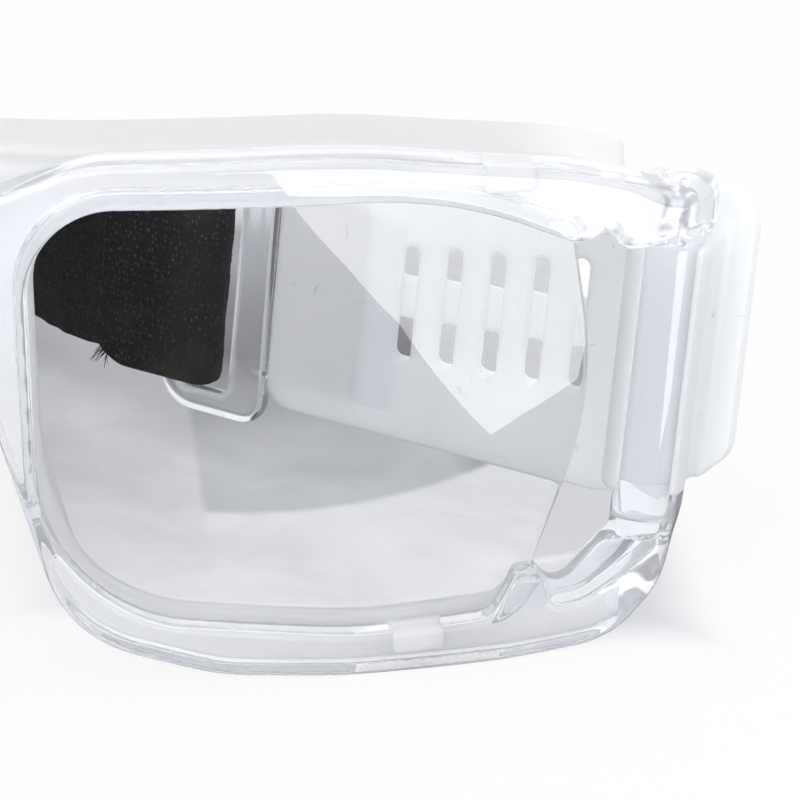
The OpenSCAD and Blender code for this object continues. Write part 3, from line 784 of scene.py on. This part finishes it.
def strap_path():
    """Centre line of the right half from the tail's end to the rear middle: x, y, z and lean in degrees."""
    local = [(MID - FOLD_R, u) for u in np.linspace(TAIL_END, FOLD_AT, 20)]
    for t in np.linspace(0, math.pi, 17)[1:]:
        local.append((MID - FOLD_R * math.cos(t), FOLD_AT - FOLD_R * math.sin(t)))
    local += [(MID + FOLD_R, u) for u in np.linspace(FOLD_AT, TAIL_END + 0.3, 20)[1:]]
    points = [strap_point(v, u) for v, u in local]
    knots = [strap_point(MID + FOLD_R, TAIL_END + e, lean) for e, lean in LEAVING]
    knots += [np.array(q, float) for q in ROUTE + [PAST_REAR]]
    for i in range(1, len(knots) - 2):
        a, b, c, d = knots[i - 1:i + 3]
        for t in np.linspace(0, 1, 13)[1:]:
            points.append(0.5 * (2 * b + (c - a) * t + (2 * a - 5 * b + 4 * c - d) * t * t
                                 + (3 * b - a - 3 * c + d) * t ** 3))
    line = np.array(points)
    line[:, 2] = np.maximum(line[:, 2], STRAP_W / 2)
    return line


def along(line, step):
    """The line's values at even steps, and the length run up to each."""
    run = np.concatenate([[0], np.cumsum(np.linalg.norm(np.diff(line[:, :3], axis=0), axis=1))])
    at = np.linspace(0, run[-1], int(run[-1] / step) + 1)
    return np.stack([np.interp(at, run, line[:, i]) for i in range(line.shape[1])], 1), at


def waves(a, b, seed, count=7, low=0.2, high=1.1):
    """A smooth random field over two coordinates in mm, about -1 to 1."""
    rng = np.random.default_rng(seed)
    total = 0 * a
    for _ in range(count):
        k = rng.uniform(low, high)
        t = rng.uniform(0, math.pi)
        total = total + np.sin(k * (a * math.cos(t) + b * math.sin(t)) + rng.uniform(0, 6.28))
    return total / math.sqrt(count)


THREADS, THREAD_RINGS, THREAD_SIDES = 26, 8, 5


def frayed(side):
    """Loose thread ends at the lower corner of the tail."""
    rng = np.random.default_rng(11)
    points, faces = [], []
    for _ in range(THREADS):
        root = np.array([MID - FOLD_R + rng.uniform(-0.5, 0.5), TAIL_END - rng.uniform(0.1, 1.6),
                         11.7 + rng.uniform(0, 1.0)])
        way = np.array([rng.uniform(-0.7, 0.5), rng.uniform(0.1, 1.1), -rng.uniform(0.5, 1.2)])
        curl, long, thick = rng.uniform(-1.3, 1.3, 3), rng.uniform(0.8, 2.1), rng.uniform(0.05, 0.1)
        rings = []
        for i, t in enumerate(np.linspace(0, 1, THREAD_RINGS)):
            o = root + way / np.linalg.norm(way) * long * t + curl * t * t * 0.6
            w = thick * (1 - 0.7 * i / (THREAD_RINGS - 1))
            turn = np.linspace(0, 2 * math.pi, THREAD_SIDES + 1)[:-1]
            rings.append(np.stack([np.cos(turn) * w + o[0], np.sin(turn) * w + o[1], 0 * turn + o[2]], 1))
        pts, groups = tube(rings, THREAD_SIDES)
        base = sum(len(v) for v in points)
        points.append(pts)
        faces.append([g + base for g in groups])
    pts = on_arm(*np.vstack(points).T)
    groups = [np.vstack([f[i] for f in faces]) for i in (0, 1)]
    return (pts, groups) if side == "right" else flip(pts, groups)


ACROSS, SQUARE = 72, 30          # points over the width of each face, and how square the band's edges are
CORNER_CUT, UPPER_CUT, CUT_OVER = 1.9, 0.9, 3.2  # how the cut end's lower and upper corners round off
WAVE, RIPPLE, SWELL = 0.16, 0.05, 0.06
RIB, RIB_APART = 0.035, 0.8
HELD_SHARE = 0.45                # share of the waves where the band lies in the buckle
HELD_TO = 2 * (TAIL_END - FOLD_AT) + 6


def band_section():
    """Points round the band: where they lie over its width, and over its thickness."""
    half, thin = STRAP_W / 2, STRAP_T / 2
    shares = np.linspace(-1, 1, ACROSS)
    face = [(half * w, thin * (1 - abs(w) ** SQUARE) ** 0.5 if abs(w) < 1 else 0.0) for w in shares]
    section = np.array(face + [(w, -t) for w, t in face[::-1][1:-1]])
    return section[:, 0], section[:, 1]


def strap_rings(line, run, w, t):
    """Sections along the line, which lean with the band and carry its waves, ribs and worn end."""
    step = np.gradient(line[:, :2], axis=0)
    flat_in = np.stack([-step[:, 1], step[:, 0], 0 * run], 1)
    flat_in /= np.linalg.norm(flat_in, axis=1)[:, None]
    lean = np.radians(line[:, 3])[:, None]
    rise = np.array([0, 0, 1.0])
    across = flat_in * np.cos(lean) - rise * np.sin(lean)
    upward = flat_in * np.sin(lean) + rise * np.cos(lean)
    half = STRAP_W / 2
    rings = []
    for at, middle, thickness_way, width_way in zip(run, line[:, :3], across, upward):
        end = np.clip(1 - at / CUT_OVER, 0, 1) ** 2
        squeeze = np.where(w < 0, (half - CORNER_CUT * end) / half, (half - UPPER_CUT * end) / half)
        push = WAVE * waves(at + 0 * w, w, 5) + RIPPLE * waves(at + 0 * w, w, 6, 9, 1.5, 3.5)
        loose = HELD_SHARE if at < HELD_TO else 1.0
        rib = RIB * np.cos(2 * math.pi * w / RIB_APART)
        thick = t * (1 + SWELL * np.sin(at * 2.1)) + push * loose + np.sign(t) * rib
        rings.append(middle + thick[:, None] * thickness_way + (w * squeeze)[:, None] * width_way)
    return rings


line, run = along(strap_path(), 0.4)
w, t = band_section()
p, q = tube(strap_rings(line, run, w, t), len(w))
uv_s, uv_w = np.repeat(run, len(w)), np.tile(w, len(line))
uv = np.stack([np.append(uv_s, [0, run[-1]]), np.append(uv_w, [0, 0])], 1) * MM

for side, (p, q) in on_both_sides(p, q):
    obj = piece("strap_" + side, p, q, None, ["strap_end_" + side] + ["head_strap"] * (side == "right"),
                strap_mat)
    layer = obj.data.uv_layers.new(name="cloth")
    at = np.empty(len(obj.data.loops), np.int32)
    obj.data.loops.foreach_get("vertex_index", at)
    layer.data.foreach_set("uv", uv[at].ravel())
    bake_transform(obj)
    p, q = frayed(side)
    tuft = piece("strap_tuft_" + side, p, q, "arm_" + side, (), strap_mat)

# Stage


def stage_piece(name, points, material):
    """One flat polygon that isn't part of the goggles."""
    mesh = bpy.data.meshes.new(name)
    mesh.from_pydata(points, [], [tuple(range(len(points)))])
    mesh.materials.append(material)
    obj = bpy.data.objects.new(name, mesh)
    bpy.context.scene.collection.objects.link(obj)
    return obj


def floor_material():
    """Plain and pale with a painted shadow under the goggles; through the lens it shows painted shadows,
    painted light and a painted mottle, and under the rim a painted glow.
    """
    n = shader("floor", (0.85, 0.85, 0.86), 0.6, Specular_IOR_Level=0.1)
    path = n.add("LightPath").outputs
    at = n.add("SeparateXYZ")
    n.link(n.coord.outputs["Object"], at.inputs[0])
    aside, depth = maths(n, "ABSOLUTE", at.outputs[0]), at.outputs[1]
    cloud = noise(n, 75, 5.0, 0.62, bend=0.4).outputs["Fac"]

    # Through the lens, painted light and shade: lighter towards the front, a painted shadow past a curved
    # edge with darker bands at the rear, other tones beside the nose, and a painted mottle all over
    drift = plus(n, times(n, plus(n, depth, times(n, cloud, 0.016)), 4.0), 0.5)
    open_tone = ramp(n, drift, [(0.32, (0.97, 0.97, 0.98)), (0.42, (0.93, 0.935, 0.945)),
                                (0.6, (0.86, 0.865, 0.88)), (0.7, (0.5, 0.505, 0.52))])
    nose_tone = ramp(n, drift, [(0.32, (0.97, 0.97, 0.98)), (0.4, (0.85, 0.855, 0.865)),
                                (0.48, (0.76, 0.765, 0.78)), (0.6, (0.7, 0.71, 0.725))])
    rear_tone = ramp(n, plus(n, times(n, depth, 4.0), 0.5),
                     [(0.46, (0.64, 0.65, 0.67)), (0.53, (0.48, 0.49, 0.5)), (0.59, (0.2, 0.2, 0.21)),
                      (0.65, (0.23, 0.235, 0.245)), (0.74, (0.37, 0.375, 0.39)), (0.8, (0.4, 0.405, 0.42)),
                      (0.86, (0.92, 0.925, 0.94))])
    outer = times(n, soft_step(n, aside, 0.0585, 0.0622), 0.8)
    rear_tone = blend_colour(n, outer, rear_tone, (0.43, 0.437, 0.46))
    bow = maths(n, "POWER", larger(n, minus(n, aside, 0.0305), 0.0), 2.0)
    edge = plus(n, times(n, bow, 19.5), (50.8 - MIDDLE) * MM)
    # Painted shadow past a curved edge, in the goggles' own coordinates
    beyond = soft_step(n, minus(n, depth, edge), -0.0008, 0.0014)
    tone = blend_colour(n, beyond, open_tone, rear_tone)
    tone = blend_colour(n, soft_step(n, aside, 0.0302, 0.0314), nose_tone, tone)
    painted_mottle = n.add("Mix", data_type="RGBA", blend_type="MULTIPLY")
    painted_mottle.inputs[0].default_value = 1.0
    n.link(tone, painted_mottle.inputs[6])
    n.link(ramp(n, cloud, [(0.35, 0.88), (0.5, 0.94), (0.62, 1.0)]), painted_mottle.inputs[7])

    # Seen directly: a grey painted shadow that ends softly on every side
    outside = soft_step(n, minus(n, aside, times(n, larger(n, depth, -0.023), 0.22)), 0.0795, 0.0895)
    outside = larger(n, outside, soft_step(n, depth, -0.068, -0.0555, flip=True))
    outside = larger(n, outside, soft_step(n, depth, 0.006, 0.062))
    outside = larger(n, outside, soft_step(n, aside, 0.006, 0.026, flip=True))
    direct_with_painted_shadow = blend_colour(n, outside, (0.62, 0.625, 0.64), (0.8, 0.8, 0.81))
    seen = blend_colour(n, path["Is Transmission Ray"], direct_with_painted_shadow, painted_mottle.outputs[2])

    # Painted reflection: dark in front of the frame to rays that were mirrored once, as in the rear face of a
    # lens
    once = larger(n, minus(n, 1.0, maths(n, "ABSOLUTE", minus(n, path["Glossy Depth"], 1.0))), 0.0)
    ahead = soft_step(n, depth, -0.025, -0.01, flip=True)
    n.link(blend_colour(n, times(n, once, ahead), seen, (0.04, 0.04, 0.042)), n.bsdf.inputs["Base Color"])

    # A share of even white: for the camera away from the painted shadow, and a painted glow under the rim,
    # seen through the clear frame
    direct = times(n, path["Is Camera Ray"], plus(n, times(n, outside, 0.72), 0.08))
    straight = minus(n, 1.0, maths(n, "MINIMUM", path["Glossy Depth"], 1.0))
    painted_glow_under_rim = times(n, times(n, soft_step(n, depth, -0.063, -0.052, flip=True), straight), 0.6)
    bright = n.add("Emission")
    bright.inputs[0].default_value = (1, 1, 1, 1)
    lift = n.add("MixShader")
    n.link(plus(n, direct, times(n, path["Is Transmission Ray"], painted_glow_under_rim)), lift.inputs[0])
    n.link(n.bsdf.outputs[0], lift.inputs[1])
    n.link(bright.outputs[0], lift.inputs[2])
    n.link(lift.outputs[0], n.out.inputs[0])
    return n.mat


FLOOR = 3.0  # half of the floor's side, in metres
stage_piece("floor", [(-FLOOR, -FLOOR, 0), (FLOOR, -FLOOR, 0), (FLOOR, FLOOR, 0), (-FLOOR, FLOOR, 0)],
            floor_material())

# A white card on the floor beside the camera's view, seen only as the reflection in the lens; corners in mm

CARD = [(108.7, -22.7), (115.2, -44.1), (121.7, -66.7), (123.8, -95), (123, -131), (122, -200), (150, -290),
        (380, -290), (380, 40), (138.6, -18.2), (119.1, -21.9)]
CARD_LIFT, CARD_GLOW = 0.0006, 4.8
glow = Nodes("card")
lit = glow.add("Emission")
lit.inputs["Strength"].default_value = CARD_GLOW
glow.link(lit.outputs[0], glow.add("OutputMaterial").inputs[0])
card = stage_piece("card", [(x * MM, (y - MIDDLE) * MM, CARD_LIFT) for x, y in CARD], glow.mat)
card.visible_camera = card.visible_diffuse = card.visible_transmission = card.visible_shadow = False

# World and lamps: even white light, a little stronger where glossy and clear surfaces show it

SKY, SKY_GAIN = (0.985, 0.99, 1, 1), 0.4
world = bpy.data.worlds.new("world")
bpy.context.scene.world = world
world.use_nodes = True
nodes, links = world.node_tree.nodes, world.node_tree.links
nodes["Background"].inputs[0].default_value = SKY
sky_path, gain = nodes.new("ShaderNodeLightPath"), nodes.new("ShaderNodeMath")
gain.operation = "MULTIPLY_ADD"
gain.inputs[1].default_value, gain.inputs[2].default_value = SKY_GAIN, 1.0
links.new(sky_path.outputs["Is Glossy Ray"], gain.inputs[0])
links.new(gain.outputs[0], nodes["Background"].inputs[1])


def lamp(name, at, toward, size, power):
    data = bpy.data.lights.new(name, "AREA")
    data.energy = power
    data.size = size
    obj = bpy.data.objects.new(name, data)
    obj.location = at
    obj.rotation_euler = (Vector(toward) - Vector(at)).to_track_quat("-Z", "Y").to_euler()
    bpy.context.scene.collection.objects.link(obj)


lamp("key", (-0.4, -0.8, 0.6), (0.03, -0.06, 0.02), 0.8, 5.0)
lamp("fill", (0.35, -0.9, 0.5), (0.05, -0.07, 0.02), 0.7, 1.2)

# Camera

TILT, SWING, ROLL = math.radians(18), math.radians(7.03), math.radians(-5.58)
AIM, DISTANCE = Vector((44, -MIDDLE, 30)) * MM, 0.375
FOCAL, PICTURE, SENSOR = 4125, 800, 36  # focal length and picture width in pixels, sensor width in mm
fwd = Vector((math.cos(TILT) * math.sin(SWING), math.cos(TILT) * math.cos(SWING), -math.sin(TILT)))
level = Vector((math.cos(SWING), -math.sin(SWING), 0))
above = level.cross(fwd)
right = math.cos(ROLL) * level - math.sin(ROLL) * above
up = math.sin(ROLL) * level + math.cos(ROLL) * above
cam_data = bpy.data.cameras.new("camera")
cam_data.lens = SENSOR * FOCAL / PICTURE
cam_data.sensor_width = SENSOR
cam_data.clip_start = 0.01
cam = bpy.data.objects.new("camera", cam_data)
place = Matrix((right, up, -fwd)).transposed().to_4x4()
place.translation = AIM - fwd * DISTANCE
cam.matrix_world = place
bpy.context.scene.collection.objects.link(cam)
bpy.context.scene.camera = cam
bpy.context.scene.view_settings.view_transform = "Standard"
